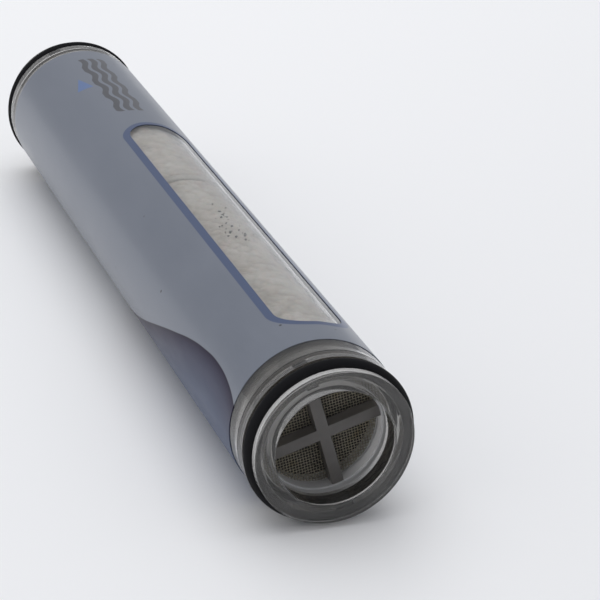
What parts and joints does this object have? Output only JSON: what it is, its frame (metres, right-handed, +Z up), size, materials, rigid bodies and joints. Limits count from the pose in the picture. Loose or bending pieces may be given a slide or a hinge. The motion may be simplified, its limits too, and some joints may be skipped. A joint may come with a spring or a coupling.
{
  "type": "inline water filter cartridge",
  "caption": "Slim clear tube of granular water filter media with a printed sleeve and window, closed at each end by a clear ported cap with a seal ring and a cross-barred wire strainer.",
  "frame": {"origin": "centre of the cartridge, at mid-length on its axis", "axes": "+X along the axis, out of the inlet end, which is the end nearest the window in the sleeve; +Z up as the cartridge lies on its two seal rings, with the window on top; +Y completes a right-handed frame"},
  "size_m": [0.143, 0.0252, 0.0252],
  "materials": {
    "clear_cap": "clear moulded plastic, glossy with slight haze",
    "clear_tube": "clear extruded plastic, glossy",
    "label": "printed satin film, silver blue",
    "seal": "moulded nitrile, satin",
    "wire_mesh": "plain woven stainless wire",
    "retainer": "natural moulded plastic",
    "felt": "white needled felt",
    "carbon_felt": "dark grey carbon-loaded needled felt",
    "media": "off-white mineral granules"
  },
  "bodies": {
    "root": {"body_tube": "clear_tube", "divider_pad": "felt", "inlet_cap": "clear_cap", "inlet_media": "media", "inlet_pad": "carbon_felt", "inlet_seal_ring": "seal", "inlet_strainer": "wire_mesh", "inlet_strainer_retainer": "retainer", "label_sleeve": "label", "outlet_cap": "clear_cap", "outlet_media": "media", "outlet_pad": "carbon_felt", "outlet_seal_ring": "seal", "outlet_strainer": "wire_mesh", "outlet_strainer_retainer": "retainer"}
  },
  "joints": []
}
